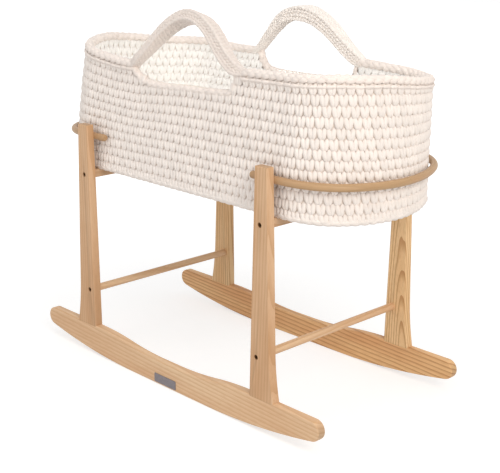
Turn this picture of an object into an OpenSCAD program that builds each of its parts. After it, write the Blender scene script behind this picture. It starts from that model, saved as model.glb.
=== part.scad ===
// Rocking stand for a moses basket, with its lift-out crocheted basket.
// Two pine side frames (a shaped rocker with two tapered posts), two cross rails
// that carry the basket, two round stretchers, and two bent hoops round its ends.
// +X runs along the rockers, -Y is the front, +Z is up, origin on the floor.

/* [Side frames] */
// Depth of the stand over the outer faces of the side frames
stand_d = 430; // [410:1:460]
// Height of the posts' tops above the floor
stand_h = 525; // [510:1:560]
// Thickness of the planed pine of rockers and posts
timber_t = 19; // [18:0.5:24]

/* [Rockers] */
// Length of a rocker
rocker_l = 860; // [780:5:940]
// Height of a rocker where the posts stand
rocker_h = 69.5; // [62:0.5:82]
// Height of a rocker in the middle of its dipped top edge
waist_h = 53.5; // [46:0.5:58]
// Length of the level floor of the dip
waist_flat = 50; // [20:2:120]
// Length of the flat stretch that the rocker stands on
sole_flat = 240; // [160:5:300]
// Radius of the curved runner beyond the flat stretch
runner_r = 1500; // [1200:20:2400]

/* [Posts] */
// Stretch of the rocker beyond a post's foot
rocker_past = 118; // [100:1:130]
// How far a post's inner edge leans out from foot to top
post_lean = 9; // [3:0.5:16]
// Width of a post at its top
post_top_w = 32; // [30:0.5:40]
// Width of a post where its foot starts to flare
post_shank_w = 51; // [46:0.5:56]
// Width of a post's flared foot
post_foot_w = 65; // [60:0.5:78]
// Height of the flare above the rocker
flare_h = 100; // [60:2:150]

/* [Rails and stretchers] */
// Distance from a post's inner edge to the rail's centre line
rail_in = 17; // [14:0.5:21]
// Depth of a cross rail's centre line below the hoops
rail_drop = 84; // [70:1:110]
// Width of a cross rail
rail_w = 18; // [16:0.5:22]
// Height of a cross rail
rail_h = 18; // [16:0.5:22]
// Distance from a post's inner edge to the stretcher's centre line
stretcher_in = 16.5; // [14:0.5:26]
// Height of a stretcher's centre line
stretcher_z = 152; // [140:1:200]
// Diameter of a stretcher
stretcher_dia = 16; // [14:0.5:18]
// Depth of a stretcher's socket in the post
socket_depth = 6; // [4:0.5:7]

/* [Hoops] */
// Diameter of the bent rod
hoop_dia = 15; // [12:0.5:18]
// Depth of the rod's centre line below the posts' tops
hoop_drop = 26; // [18:0.5:40]
// Depth of the groove in the post that seats the rod
hoop_seat = 1.5; // [0.5:0.1:3]
// Straight stub of the rod past the post's inner edge
hoop_stub = 33; // [20:1:45]
// Straight stretch of the rod past the post's outer edge
hoop_past = 4; // [2:0.5:12]
// Reach of the bent end beyond the straight stretch
hoop_bow = 146; // [140:1:170]
// Bend radius of the hoop's two corners
hoop_corner_r = 130; // [115:1:134]
// How far the tip of a hoop hangs below its legs
hoop_sag = 6; // [0:0.5:10]

/* [Basket] */
// Height of the rim above the rails
basket_h = 266; // [220:2:300]
// Thickness of the crocheted wall
wall_t = 20; // [16:0.5:24]
// Thickness of the crocheted base
base_t = 15; // [10:0.5:20]
// How far the sides draw in towards the rim
rim_draw = 5; // [1:0.5:10]
// How far the ends draw in towards the rim, beyond that
end_draw = 13; // [0:1:24]
// Roundness of the bottom edge
bottom_r = 10; // [4:0.5:14]
// Depth of the hand opening below the rim
hand_drop = 62; // [50:1:80]
// Corner radius of the hand opening
hand_corner_r = 12; // [6:0.5:18]

/* [Handles] */
// Height of a handle's crown above the rim
handle_rise = 99; // [85:1:110]
// Bend radius of the crown, at the strap's middle
crown_r = 104; // [92:1:116]
// Slope of the legs
leg_slope = 45; // [40:1:50]
// Thickness of the strap, seen from the front
strap_t = 26; // [22:0.5:30]
// Depth of the strap at its feet, front to back
strap_d = 22; // [18:0.5:24]
// Depth of the strap at its crown, where it spreads for the hand
crown_d = 38; // [26:0.5:44]
// Roundness of the strap's edges
strap_r = 8; // [4:0.5:8.5]
// How far the front handle leans in over the basket
front_lean = 20; // [0:1:30]
// How far the rear handle leans in over the basket
rear_lean = 0; // [0:1:30]

/* [Fasteners] */
// Diameter of the connector bolts
bolt_dia = 6; // [5:0.5:8]
// Length of a connector bolt under its head
bolt_l = 30; // [28:1:36]
// Diameter of a connector bolt's head
bolt_head_dia = 10; // [9:0.5:12]
// Height of a connector bolt's head
bolt_head_h = 3.4; // [2.5:0.1:4.5]
// Width of the hexagon socket across its flats
hex_af = 4; // [3:0.5:5]
// Depth of the counterbore that sinks the head
sink_depth = 5.5; // [4.5:0.1:6.5]
// Diameter of the threaded insert
insert_dia = 9; // [8.5:0.5:10]
// Length of the threaded insert
insert_l = 14; // [10:1:18]
// Diameter of the locating dowels between posts and rockers
dowel_dia = 8; // [6:0.5:10]
// Length of a locating dowel
dowel_l = 40; // [30:2:60]
// Spacing of the two dowels in one foot
dowel_gap = 30; // [24:1:36]
// Diameter of a hoop screw
screw_dia = 4; // [3:0.5:5]
// Length of a hoop screw
screw_l = 27; // [22:1:29]
// Diameter of a hoop screw's countersunk head
screw_head_dia = 8; // [7:0.5:9]

/* [Hidden] */
$fn = 48;
// steps of a drawn arc, of a hoop's bends, along the basket's side, round a rod and an edge
arc_n = 16;
bend_n = 9;
side_n = 9;
rod_n = 16;
edge_n = 4;
// clearance of pieces fixed in one another
fit_gap = 0.1;
// clearance between the basket and the stand, and of the handles
run_gap = 0.3;
// overrun of cuts
over = 2;
// room left under a blind hole's bolt or dowel
blind_gap = 1;
// eased edges of the rails, and of the rods' ends
rail_ease = 3;
stub_ease = 5;
// depth of the hexagon socket in a bolt's head
hex_depth_share = 0.7;
hex_depth = bolt_head_h * hex_depth_share;
// a screw's head lies this far under the rod's crown, and is this tall
screw_sink = 1.2;
screw_cone_h = 2.4;
pine = "#d8b48a";
lit_pine = "#e6c59c";
rattan = "#c99e6e";
steel = "#8d8a88";
brass = "#b79a57";
beech = "#dcc19a";
cotton = "#efe6dc";

half_d = stand_d / 2;
inner_y = half_d - timber_t;
mid_y = half_d - timber_t / 2;

// rocker: the nose is the circle that touches the top edge and the runner alike
rise_p = rocker_l / 2 - sole_flat / 2;
rise_q = runner_r - rocker_h;
rise_b = rise_q - rise_p + runner_r;
rise_c = rise_p * rise_p + rise_q * rise_q - runner_r * runner_r;
nose_r = -rise_b + sqrt(rise_b * rise_b - rise_c);
nose_x = rocker_l / 2 - nose_r;
nose_z = rocker_h - nose_r;
nose_a = atan2(nose_z - runner_r, nose_x - sole_flat / 2);
// posts stand in from the rocker's ends
post_foot_in = rocker_l / 2 - rocker_past - post_foot_w;
post_top_in = post_foot_in + post_lean;
// the dip's sides are two equal arcs, one turned over
dip_run = post_foot_in - waist_flat / 2;
dip_drop = rocker_h - waist_h;
dip_r = (dip_run * dip_run + dip_drop * dip_drop) / (4 * dip_drop);
dip_a = asin(dip_run / 2 / dip_r);

// post outline
flare_z = rocker_h + flare_h;
post_h = stand_h - rocker_h;
function post_in(z) = post_foot_in + post_lean * (z - rocker_h) / post_h;
shank_out = post_in(flare_z) + post_shank_w;
top_out = post_top_in + post_top_w;
shank_fall = (shank_out - top_out) / (stand_h - flare_z);
foot_out = post_foot_in + post_foot_w;
flare_bend = (foot_out - shank_out - shank_fall * flare_h) / (flare_h * flare_h);
function post_out(z) = z > flare_z
  ? shank_out - shank_fall * (z - flare_z)
  : shank_out + shank_fall * (flare_z - z) + flare_bend * (flare_z - z) * (flare_z - z);
foot_mid = (post_foot_in + foot_out) / 2;

// hoop: straight legs, two corner arcs and an end arc, all tangent
hoop_z = stand_h - hoop_drop;
hoop_y = inner_y + hoop_seat - hoop_dia / 2;
hoop_leg_in = post_in(hoop_z) - hoop_stub;
hoop_leg_out = post_out(hoop_z) + hoop_past;
hoop_screw_x = (post_in(hoop_z) + post_out(hoop_z)) / 2;
bow_k = 2 * (hoop_bow - hoop_corner_r);
hoop_end_r = (hoop_bow * hoop_bow + hoop_y * hoop_y - 2 * hoop_y * hoop_corner_r) / bow_k;
hoop_reach = hoop_leg_out + hoop_bow;
corner_y = hoop_y - hoop_corner_r;
end_x = hoop_reach - hoop_end_r;
end_a = asin(corner_y / (hoop_end_r - hoop_corner_r));

// rails and stretchers
rail_z = hoop_z - rail_drop;
rail_x = post_in(rail_z) + rail_in;
stretcher_x = post_in(stretcher_z) + stretcher_in;

// basket
rail_top = rail_z + rail_h / 2;
basket_z = rail_top + run_gap;
rim_z = rail_top + basket_h;
// inset of the basket's outer face from the hoop's centre line
skin = hoop_dia / 2 + run_gap;
draw_z = stand_h;
rim_r = wall_t / 2;
handle_y = hoop_y - skin - rim_draw - rim_r;
// handle: a crown arc on two straight legs that end in the rim
pivot_z = rim_z - strap_d / 2;
crown_z = rim_z + handle_rise - crown_r - strap_t / 2;
leg_x = crown_r * cos(leg_slope);
leg_z = crown_z + crown_r * sin(leg_slope);
foot_z = pivot_z - strap_d / 2 - run_gap;
// the leg's inner edge, carried on down as the side of the hand opening
function leg_in(z) = ((crown_r - strap_t / 2) - (z - crown_z) * sin(leg_slope)) / cos(leg_slope);
foot_in = leg_in(pivot_z);
foot_w = strap_t / cos(leg_slope);
// how far round the foot's underside is rounded
foot_turn = 75;
hand_z = rim_z - hand_drop;

// fasteners
bolt_hole = bolt_dia + 2 * fit_gap;
head_hole = bolt_head_dia + 2 * fit_gap;
insert_hole = insert_dia + 2 * fit_gap;
dowel_hole = dowel_dia + 2 * fit_gap;
screw_hole = screw_dia + 2 * fit_gap;
screw_head_hole = screw_head_dia + 2 * fit_gap;
bolt_end = sink_depth + bolt_l + blind_gap;

function arc(cx, cy, r, a0, a1, n = arc_n) =
  [for (i = [0:n]) [cx + r * cos(a0 + (a1 - a0) * i / n), cy + r * sin(a0 + (a1 - a0) * i / n)]];
function mirrored(pts) = [for (i = [len(pts) - 1:-1:0]) [-pts[i][0], pts[i][1]]];
function round_rect(w, h, r) = concat(
  arc(w / 2 - r, h / 2 - r, r, 0, 90, edge_n), arc(r - w / 2, h / 2 - r, r, 90, 180, edge_n),
  arc(r - w / 2, r - h / 2, r, 180, 270, edge_n), arc(w / 2 - r, r - h / 2, r, 270, 360, edge_n));

// the oval that hoops and basket share, as [x, y, outward x, outward y]
function bend(cx, cy, r, a0, a1) =
  [for (i = [0:bend_n]) let (a = a0 + (a1 - a0) * i / bend_n)
    [cx + r * cos(a), cy + r * sin(a), cos(a), sin(a)]];
function tail(pts) = [for (i = [1:len(pts) - 1]) pts[i]];
function back(pts) = [for (i = [len(pts) - 1:-1:0]) pts[i]];
function flip(pts, kx, ky) = [for (p = pts) [kx * p[0], ky * p[1], kx * p[2], ky * p[3]]];
quarter = concat(bend(end_x, 0, hoop_end_r, 0, end_a),
  tail(bend(hoop_leg_out, corner_y, hoop_corner_r, end_a, 90)));
side = [for (i = [1:side_n - 1]) [hoop_leg_out * (1 - 2 * i / side_n), hoop_y, 0, 1]];
half_oval = concat(quarter, side, back(flip(quarter, -1, 1)));
oval = concat(half_oval, [for (i = [len(half_oval) - 2:-1:1]) flip([half_oval[i]], 1, -1)[0]]);

// skins a row of rings, all with the same number of points; closed joins last to first
module loft(rings, closed = false) {
  m = len(rings[0]);
  n = len(rings);
  last = closed ? n - 1 : n - 2;
  sides = [for (i = [0:last], j = [0:m - 1]) let (k = (j + 1) % m, u = i * m, w = ((i + 1) % n) * m)
    each [[u + j, w + j, w + k], [u + j, w + k, u + k]]];
  caps = closed ? [] : concat(
    [for (j = [1:m - 2]) [0, j, j + 1]],
    [for (j = [1:m - 2]) [(n - 1) * m, (n - 1) * m + j + 1, (n - 1) * m + j]]);
  polyhedron(points = [for (r = rings) each r], faces = concat(sides, caps));
}

// places an upright outline as a board of one side frame, s = -1 front, 1 rear
module board(s) {
  translate([0, s > 0 ? half_d : -inner_y, 0])
    rotate([90, 0, 0])
      linear_extrude(height = timber_t)
        children();
}

// local frame on a side frame's outer face, +Z out of the face
module on_face(s, e, x, z) {
  translate([e * x, s * half_d, z])
    rotate([-90 * s, 0, 0])
      children();
}

// the two dowels of one foot, or their holes
module foot_dowels(s, e, d, l) {
  for (k = [-1, 1])
    translate([e * (foot_mid + k * dowel_gap / 2), s * mid_y, rocker_h - l / 2])
      cylinder(d = d, h = l);
}

module rocker(s) {
  runner = arc(sole_flat / 2, runner_r, runner_r, -90, nose_a);
  nose = arc(nose_x, nose_z, nose_r, nose_a, 90);
  shoulder = arc(post_foot_in, rocker_h - dip_r, dip_r, 90, 90 + dip_a);
  waist = arc(waist_flat / 2, waist_h + dip_r, dip_r, dip_a - 90, -90);
  half = concat(runner, nose, shoulder, waist);
  difference() {
    board(s) polygon(concat(half, mirrored(half)));
    for (e = [-1, 1])
      foot_dowels(s, e, dowel_hole, dowel_l + 2 * blind_gap);
  }
}

module post(s, e) {
  foot = [for (i = [0:arc_n]) rocker_h + flare_h * i / arc_n];
  outer = [for (z = foot) [post_out(z), z]];
  outline = concat(outer, [[top_out, stand_h], [post_top_in, stand_h], [post_foot_in, rocker_h]]);
  difference() {
    board(s) mirror([e < 0 ? 1 : 0, 0]) polygon(outline);
    foot_dowels(s, e, dowel_hole, dowel_l + 2 * blind_gap);
    on_face(s, e, rail_x, rail_z) bolt_way();
    on_face(s, e, stretcher_x, stretcher_z) {
      bolt_way();
      translate([0, 0, -timber_t - over])
        cylinder(d = stretcher_dia + 2 * fit_gap, h = socket_depth + over);
    }
    translate([e * hoop_screw_x, s * hoop_y, hoop_z]) {
      rotate([0, 90, 0])
        cylinder(d = hoop_dia + 2 * fit_gap, h = post_foot_w, center = true);
      rotate([-90 * s, 0, 0])
        cylinder(d = screw_hole, h = screw_l + blind_gap - hoop_dia / 2);
    }
  }
}

// counterbored way of a connector bolt through a post
module bolt_way() {
  translate([0, 0, -sink_depth]) cylinder(d = head_hole, h = sink_depth + over);
  translate([0, 0, -timber_t - over]) cylinder(d = bolt_hole, h = timber_t);
}

// blind hole of an insert and its bolt, in the end of a rail or stretcher
module insert_way(depth) {
  translate([0, 0, -depth - insert_l]) cylinder(d = insert_hole, h = insert_l + over);
  translate([0, 0, -bolt_end]) cylinder(d = bolt_hole, h = bolt_end - depth);
}

module rail(e) {
  difference() {
    translate([e * rail_x, inner_y, rail_z])
      rotate([90, 0, 0])
        linear_extrude(height = 2 * inner_y)
          polygon(round_rect(rail_w, rail_h, rail_ease));
    for (s = [-1, 1])
      on_face(s, e, rail_x, rail_z) insert_way(timber_t);
  }
}

module stretcher(e) {
  reach = inner_y + socket_depth;
  difference() {
    translate([e * stretcher_x, reach, stretcher_z])
      rotate([90, 0, 0])
        cylinder(d = stretcher_dia, h = 2 * reach);
    for (s = [-1, 1])
      on_face(s, e, stretcher_x, stretcher_z) insert_way(timber_t - socket_depth);
  }
}

// ring of a hoop's rod round a point of the oval, lower towards the hoop's tip
function bow_sag(x) = hoop_sag * pow(max(0, x - hoop_leg_out) / hoop_bow, 1.5);
function rod_ring(p, r) =
  [for (j = [0:rod_n - 1]) let (a = 360 * j / rod_n)
    [p[0] + r * cos(a) * p[2], p[1] + r * cos(a) * p[3], hoop_z - bow_sag(p[0]) + r * sin(a)]];
function rod_tip(s) =
  [for (i = [0:edge_n]) let (a = 90 - 90 * i / edge_n)
    rod_ring([hoop_leg_in + stub_ease * (1 - sin(a)), s * hoop_y, 0, s],
      hoop_dia / 2 - stub_ease * (1 - cos(a)))];

module hoop(e) {
  r = hoop_dia / 2;
  bow = concat(back(flip(quarter, 1, -1)), tail(quarter));
  rings = concat(rod_tip(-1), [for (p = bow) rod_ring(p, r)], back(rod_tip(1)));
  mirror([e < 0 ? 1 : 0, 0, 0])
    difference() {
      loft(back(rings));
      for (s = [-1, 1])
        translate([hoop_screw_x, s * (hoop_y - r), hoop_z])
          rotate([-90 * s, 0, 0]) {
            cylinder(d = screw_hole, h = hoop_dia + over);
            translate([0, 0, -over]) cylinder(d = screw_head_hole, h = screw_sink + over);
            translate([0, 0, screw_sink])
              cylinder(d1 = screw_head_hole, d2 = screw_hole, h = screw_cone_h);
          }
    }
}

module bolt() {
  difference() {
    union() {
      translate([0, 0, -sink_depth]) cylinder(d = bolt_head_dia, h = bolt_head_h);
      translate([0, 0, -sink_depth - bolt_l]) cylinder(d = bolt_dia, h = bolt_l + bolt_head_h / 2);
    }
    translate([0, 0, bolt_head_h - sink_depth - hex_depth])
      cylinder(d = hex_af / cos(30), h = hex_depth + over, $fn = 6);
  }
}

module insert(depth) {
  translate([0, 0, -depth - insert_l])
    difference() {
      cylinder(d = insert_dia, h = insert_l);
      translate([0, 0, -over]) cylinder(d = bolt_hole, h = insert_l + 2 * over);
    }
}

module hoop_screw() {
  translate([0, 0, screw_sink]) {
    cylinder(d1 = screw_head_dia, d2 = screw_dia, h = screw_cone_h);
    cylinder(d = screw_dia, h = screw_l - screw_sink);
  }
}

// share of the draw-in that a height has
function drawn_share(z) = max(0, (z - draw_z) / (rim_z - draw_z));
// the basket's section carried round the oval, from points of [inset, height]
function wall_ring(p, section) =
  [for (q = section)
    [(p[0] - p[2] * q[0]) * (1 - end_draw * drawn_share(q[1]) / hoop_reach), p[1] - p[3] * q[0], q[1]]];

// hand opening with the two notches that the handle's feet stand in
module hand_opening() {
  base_x = leg_in(hand_z + hand_corner_r) - hand_corner_r;
  notch_x = foot_in + foot_w + run_gap;
  top_z = rim_z + over;
  right = concat(
    arc(base_x, hand_z + hand_corner_r, hand_corner_r, -90, 0, edge_n),
    [[leg_in(foot_z), foot_z], [notch_x, foot_z], [notch_x, top_z]]);
  polygon(concat(right, mirrored(right)));
}

module basket_wall_solid() {
  inset = skin + rim_draw + rim_r;
  bottom = arc(skin + bottom_r, basket_z + bottom_r, bottom_r, 270, 180, edge_n);
  rim = arc(inset, rim_z - rim_r, rim_r, 180, 0, 2 * edge_n);
  section = concat(
    [[skin + wall_t, basket_z]], bottom, [[skin, draw_z]], rim, [[skin + wall_t, draw_z]]);
  difference() {
    loft([for (p = oval) wall_ring(p, back(section))], closed = true);
    translate([0, handle_y + wall_t, 0])
      rotate([90, 0, 0])
        linear_extrude(height = 2 * (handle_y + wall_t))
          hand_opening();
  }
}

// rings of a handle: a rounded foot, a leg cut level at the pivot, and the crown
function spread(a) =
  1 + (crown_d / strap_d - 1) * (1 - cos(360 * (a - leg_slope) / (180 - 2 * leg_slope))) / 2;
function strap_at(a, strap) =
  [for (p = strap) [(crown_r + p[0]) * cos(a), p[1] * spread(a), crown_z + (crown_r + p[0]) * sin(a)]];
function strap_level(strap, kx, ky, z) =
  [for (p = strap) let (d = (leg_z + p[0] * sin(leg_slope) - pivot_z) / cos(leg_slope))
    [kx * (leg_x + p[0] * cos(leg_slope) + d * sin(leg_slope)), ky * p[1], z]];
function foot_rings(strap, kx) =
  [for (i = [0:edge_n]) let (a = foot_turn * (1 - i / edge_n))
    strap_level(strap, kx, cos(a), pivot_z - strap_d / 2 * sin(a))];

module handle(s, lean) {
  strap = round_rect(strap_t, strap_d, strap_r);
  crown = [for (i = [0:2 * bend_n]) strap_at(leg_slope + (180 - 2 * leg_slope) * i / (2 * bend_n), strap)];
  translate([0, s * handle_y, pivot_z])
    rotate([s * lean, 0, 0])
      translate([0, 0, -pivot_z])
        loft(concat(foot_rings(strap, 1), crown, back(foot_rings(strap, -1))));
}

module front_rocker() { color(pine) rocker(-1); }
module rear_rocker() { color(pine) rocker(1); }
module front_left_post() { color(lit_pine) post(-1, -1); }
module front_right_post() { color(lit_pine) post(-1, 1); }
module rear_left_post() { color(lit_pine) post(1, -1); }
module rear_right_post() { color(lit_pine) post(1, 1); }
module left_rail() { color(pine) rail(-1); }
module right_rail() { color(pine) rail(1); }
module left_stretcher() { color(lit_pine) stretcher(-1); }
module right_stretcher() { color(lit_pine) stretcher(1); }
module left_hoop() { color(rattan) hoop(-1); }
module right_hoop() { color(rattan) hoop(1); }
module post_dowels() {
  color(beech)
    for (s = [-1, 1], e = [-1, 1])
      foot_dowels(s, e, dowel_dia, dowel_l);
}
module rail_bolts() {
  color(steel)
    for (s = [-1, 1], e = [-1, 1])
      on_face(s, e, rail_x, rail_z) bolt();
}
module stretcher_bolts() {
  color(steel)
    for (s = [-1, 1], e = [-1, 1])
      on_face(s, e, stretcher_x, stretcher_z) bolt();
}
module rail_inserts() {
  color(brass)
    for (s = [-1, 1], e = [-1, 1])
      on_face(s, e, rail_x, rail_z) insert(timber_t);
}
module stretcher_inserts() {
  color(brass)
    for (s = [-1, 1], e = [-1, 1])
      on_face(s, e, stretcher_x, stretcher_z) insert(timber_t - socket_depth);
}
module hoop_screws() {
  color(steel)
    for (s = [-1, 1], e = [-1, 1])
      translate([e * hoop_screw_x, s * (hoop_y - hoop_dia / 2), hoop_z])
        rotate([-90 * s, 0, 0])
          hoop_screw();
}
module basket_base() {
  inset = skin + wall_t + fit_gap;
  color(cotton)
    translate([0, 0, basket_z])
      linear_extrude(height = base_t)
        polygon([for (p = oval) [p[0] - p[2] * inset, p[1] - p[3] * inset]]);
}
module basket_wall() { color(cotton) basket_wall_solid(); }
module front_handle() { color(cotton) handle(-1, front_lean); }
module rear_handle() { color(cotton) handle(1, rear_lean); }

front_rocker();
rear_rocker();
front_left_post();
front_right_post();
rear_left_post();
rear_right_post();
left_rail();
right_rail();
left_stretcher();
right_stretcher();
left_hoop();
right_hoop();
post_dowels();
rail_bolts();
rail_inserts();
stretcher_bolts();
stretcher_inserts();
hoop_screws();
basket_base();
basket_wall();
front_handle();
rear_handle();
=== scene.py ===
"""Looks of a rocking pine stand and its crocheted moses basket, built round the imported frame."""
import math

import bmesh
import bpy
import numpy as np
from mathutils import Matrix, Vector


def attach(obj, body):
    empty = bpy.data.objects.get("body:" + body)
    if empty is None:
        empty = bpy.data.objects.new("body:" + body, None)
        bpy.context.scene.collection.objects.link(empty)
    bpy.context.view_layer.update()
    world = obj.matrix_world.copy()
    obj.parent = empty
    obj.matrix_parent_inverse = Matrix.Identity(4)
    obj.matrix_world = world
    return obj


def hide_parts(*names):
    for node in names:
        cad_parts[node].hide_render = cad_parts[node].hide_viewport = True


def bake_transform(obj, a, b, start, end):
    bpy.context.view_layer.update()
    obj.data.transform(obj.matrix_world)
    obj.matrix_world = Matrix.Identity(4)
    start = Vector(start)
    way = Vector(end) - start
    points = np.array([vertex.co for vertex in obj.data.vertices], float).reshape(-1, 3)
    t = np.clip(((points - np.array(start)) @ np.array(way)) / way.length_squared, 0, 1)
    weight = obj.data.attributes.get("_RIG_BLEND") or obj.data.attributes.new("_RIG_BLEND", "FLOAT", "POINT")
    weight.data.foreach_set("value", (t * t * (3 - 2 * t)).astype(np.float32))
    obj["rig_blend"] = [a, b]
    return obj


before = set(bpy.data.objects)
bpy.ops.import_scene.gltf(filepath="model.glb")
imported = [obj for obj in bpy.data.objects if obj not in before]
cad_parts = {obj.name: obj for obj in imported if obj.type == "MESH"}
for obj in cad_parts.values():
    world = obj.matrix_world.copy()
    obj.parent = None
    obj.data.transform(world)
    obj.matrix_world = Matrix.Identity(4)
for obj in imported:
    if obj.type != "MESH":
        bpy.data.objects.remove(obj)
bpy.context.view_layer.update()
scene = bpy.context.scene
chance = np.random.RandomState(41)

# Sizes of the stand, in millimetres, as its solids have them
MM = 0.001
BOARD_T = 19
FACE_Y = 215
ROCKER_X, ROCKER_TOP = 430, 69.5
WAIST_X, WAIST_TOP = 25, 53.5
SOLE_X, RUNNER_R = 120, 1500
POST_IN, POST_LEAN, POST_TOP = 247, 9, 525
POST_TOP_W, SHANK_W, FLARE_H, FLARE_OUT = 32, 51, 100, 312
RAIL_W, RAIL_Z, RAIL_IN = 18, 415, 17
STRETCHER_R, STRETCHER_Z, STRETCHER_IN, SOCKET = 8, 152, 16.5, 6
HOOP_R, HOOP_Z, HOOP_Y, HOOP_SAG = 7.5, 499, 190, 6
HOOP_STUB, HOOP_PAST, HOOP_BOW, HOOP_CORNER_R = 33, 4, 146, 130
SCREW_X, SCREW_HEAD, BOLT_HOLE = 272.18, 8.2, 10.4
GROOVE_X, GROOVE_L, GROOVE_PLAY = 217, 100, 0.3
# eased arrises of boards, rails and dowels
ARRIS, RAIL_ARRIS, DOWEL_ARRIS = 2.4, 3, 1
# edges that turn more than this are eased
SHARP = math.radians(40)
# how far a drill starts outside a face, and how far it goes on past a board
DRILL_OVER, DRILL_PAST = 2, 3
# sides of turned pieces and holes, and the distance within which points are one
TURNED_SIDES, CLOSE = 32, 0.01

# Sizes of the basket
SKIN_IN = 7.8
FLOOR_Z, RIM_H, WALL_T = 424.3, 266, 19.2
DRAW_H, SIDE_DRAW, END_DRAW, RIM_SHIFT = 100.7, 5, 13, 18
STITCHES, ROWS, ROW, ROW_START = 118, 13, 19.3, 3.5
HANDLE_Y, PIVOT_Z = 167.2, 679


# Materials

def colour(code):
    """sRGB hex to linear."""
    parts = [int(code[i:i + 2], 16) / 255 for i in (1, 3, 5)]
    return tuple(c / 12.92 if c <= 0.04045 else ((c + 0.055) / 1.055) ** 2.4 for c in parts) + (1,)


def feed(tree, made, inputs):
    """Sets a node's inputs to values, or links them from sockets."""
    for key, value in inputs.items():
        if isinstance(value, bpy.types.NodeSocket):
            tree.links.new(value, made.inputs[key])
        else:
            made.inputs[key].default_value = value


def node(tree, kind, inputs=None, **settings):
    """Adds one shader node, with its settings and inputs."""
    made = tree.nodes.new("ShaderNode" + kind)
    for name, value in settings.items():
        setattr(made, name, value)
    feed(tree, made, inputs or {})
    return made


def noted(tree, name, output="Fac"):
    """What a piece's points note under a name."""
    return node(tree, "Attribute", attribute_name=name).outputs[output]


def maths(tree, operation, *values):
    return node(tree, "Math", dict(enumerate(values)), operation=operation).outputs[0]


def ranged(tree, value, start, stop, low=0, high=1, **settings):
    """Carries a value from one range over to another."""
    ends = {"Value": value, "From Min": start, "From Max": stop, "To Min": low, "To Max": high}
    return node(tree, "MapRange", ends, **settings).outputs[0]


def mix(tree, share, first, second):
    return node(tree, "Mix", {0: share, 6: first, 7: second}, data_type="RGBA").outputs[2]


def scaled(tree, tint, share):
    return node(tree, "VectorMath", {0: tint, "Scale": share}, operation="SCALE").outputs[0]


def bumped(tree, height, strength, distance):
    """Fine relief, up to a distance in metres."""
    relief = {"Height": height, "Strength": strength, "Distance": distance}
    return node(tree, "Bump", relief).outputs[0]


def blank_material(name):
    material = bpy.data.materials.new(name)
    material.use_nodes = True
    return material, material.node_tree, material.node_tree.nodes["Principled BSDF"]


# sizes of wandering rings, fibre streaks and broad tones in metres, across the log and along it
WANDER_SIZE, FIBRE_SIZE, BROAD_SIZE = (0.04, 0.35), (0.0011, 0.045), (0.04, 0.26)
# rings wander half this far to either side
WANDER = 0.011


def log_noise(tree, log, size, detail, output="Fac"):
    """Noise of one size across the log and another along it."""
    sized = node(tree, "Mapping", {"Vector": log, "Scale": (1 / size[0], 1 / size[0], 1 / size[1])})
    noise = {"Vector": sized.outputs[0], "Scale": 1, "Detail": detail}
    return node(tree, "TexNoise", noise).outputs[output]


def wood(name, pale, dark, warm, ring_mm, early, ring_depth, rough):
    """Planed wood under a thin matt lacquer: growth rings round the log's axis, with fibre streaks."""
    material, tree, shader = blank_material(name)
    log = noted(tree, "grain", "Vector")
    wander = log_noise(tree, log, WANDER_SIZE, 2, "Color")
    centred = node(tree, "VectorMath", {0: wander, 1: (0.5, 0.5, 0.5)}, operation="SUBTRACT")
    bent = node(tree, "VectorMath", {0: centred.outputs[0], 1: (WANDER, WANDER, 0), 2: log},
                operation="MULTIPLY_ADD")
    # the wave texture turns 20 radians a unit, so this scale gives one ring each ring_mm
    rings = node(tree, "TexWave", {"Vector": bent.outputs[0], "Scale": 2 * math.pi / 20 / (ring_mm * MM)},
                 wave_type="RINGS", rings_direction="Z", wave_profile="SAW")
    late = ranged(tree, rings.outputs["Fac"], early, 0.97, interpolation_type="SMOOTHSTEP")
    fibre = log_noise(tree, log, FIBRE_SIZE, 3)
    warmth = ranged(tree, log_noise(tree, log, BROAD_SIZE, 1), 0.35, 0.65, 0, 0.9)
    ground = mix(tree, warmth, colour(pale), colour(warm))
    ringed = mix(tree, maths(tree, "MULTIPLY", late, ring_depth), ground, colour(dark))
    grained = mix(tree, ranged(tree, fibre, 0.48, 0.74, 0, 0.38), ringed, colour(dark))
    # darker where a surface faces along the grain, as at the sawn ends
    toned = scaled(tree, grained, ranged(tree, noted(tree, "end"), 0.45, 1, 1, 0.72))
    feed(tree, shader, {
        "Base Color": toned, "Roughness": ranged(tree, fibre, 0, 1, rough - 0.08, rough + 0.1),
        "Normal": bumped(tree, maths(tree, "ADD", late, fibre), 0.25, 0.0002),
        "IOR": 1.5, "Specular IOR Level": 0.35})
    return material


def cotton(name, face, gap_shade, fuzz):
    """Thick undyed cotton cord: matt, with faint fibres along each strand, and painted shade in the gaps."""
    material, tree, shader = blank_material(name)
    # spun fibres 1 mm apart across the strand and 9 mm long, laid at a slight twist
    own = noted(tree, "strand", "Vector")
    spun = node(tree, "Mapping", {"Vector": own, "Rotation": (0.35, 0.2, 0), "Scale": (1000, 1000, 110)})
    noise = {"Vector": spun.outputs[0], "Scale": 1, "Detail": 3, "Roughness": 0.6}
    fibre = node(tree, "TexNoise", noise).outputs["Fac"]
    # painted shade: the deeper a point lies between the strands, the more it takes the darker gap_shade
    # colour
    sunk = ranged(tree, noted(tree, "deep"), 0.35, 1, interpolation_type="SMOOTHSTEP")
    shaded = mix(tree, sunk, colour(face), colour(gap_shade))
    value = maths(tree, "MULTIPLY_ADD", noted(tree, "tone"), 0.07, 0.95)
    lines = maths(tree, "MULTIPLY_ADD", fibre, 0.14, 0.92)
    feed(tree, shader, {
        "Base Color": scaled(tree, shaded, maths(tree, "MULTIPLY", value, lines)),
        "Normal": bumped(tree, fibre, 0.5, 0.0006), "Roughness": 0.92, "Specular IOR Level": 0.15,
        "Sheen Weight": fuzz, "Sheen Roughness": 0.6})
    return material


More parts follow.
